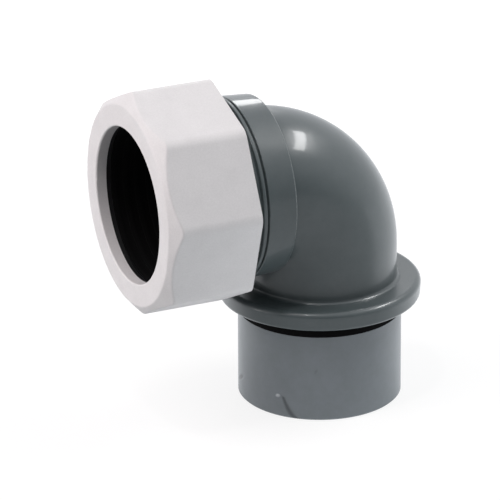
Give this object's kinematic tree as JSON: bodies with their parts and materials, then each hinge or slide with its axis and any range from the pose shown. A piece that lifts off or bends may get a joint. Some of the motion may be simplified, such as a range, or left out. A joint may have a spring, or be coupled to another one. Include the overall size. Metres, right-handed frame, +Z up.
{
  "type": "drain elbow adapter",
  "caption": "Grey plastic right-angle drain elbow with a flanged spigot below and a compression inlet closed by a pale octagonal nut at the side.",
  "frame": {"origin": "centre of the spigot's lower end", "axes": "+Z up along the spigot's axis, -X along the inlet's axis out of the nut"},
  "size_m": [0.0957, 0.07, 0.1072],
  "materials": {
    "grey_pvc": "moulded, satin gloss",
    "pale_grey_plastic": "moulded, fine matt",
    "dark_plastic": "moulded, smooth",
    "black_rubber": "moulded, matt"
  },
  "bodies": {
    "elbow": {"elbow_body": "grey_pvc", "inlet_seal": "black_rubber", "spigot_seal": "black_rubber"},
    "washer": {"slip_ring": "dark_plastic"},
    "nut": {"compression_nut": "pale_grey_plastic"}
  },
  "joints": [
    {"name": "washer_slide", "type": "slide", "parent": "elbow", "child": "washer", "axis": [-1, 0, 0], "range_m": [0, 0.0196]},
    {"name": "nut_turn", "type": "hinge", "parent": "washer", "child": "nut", "pos_m": [-0.05, 0, 0.0722], "axis": [-1, 0, 0], "range_deg": [0, 2340]}
  ],
  "couplings": [
    {"joint": "washer_slide", "follows": "nut_turn", "m_per_rad": 0.00047746}
  ]
}
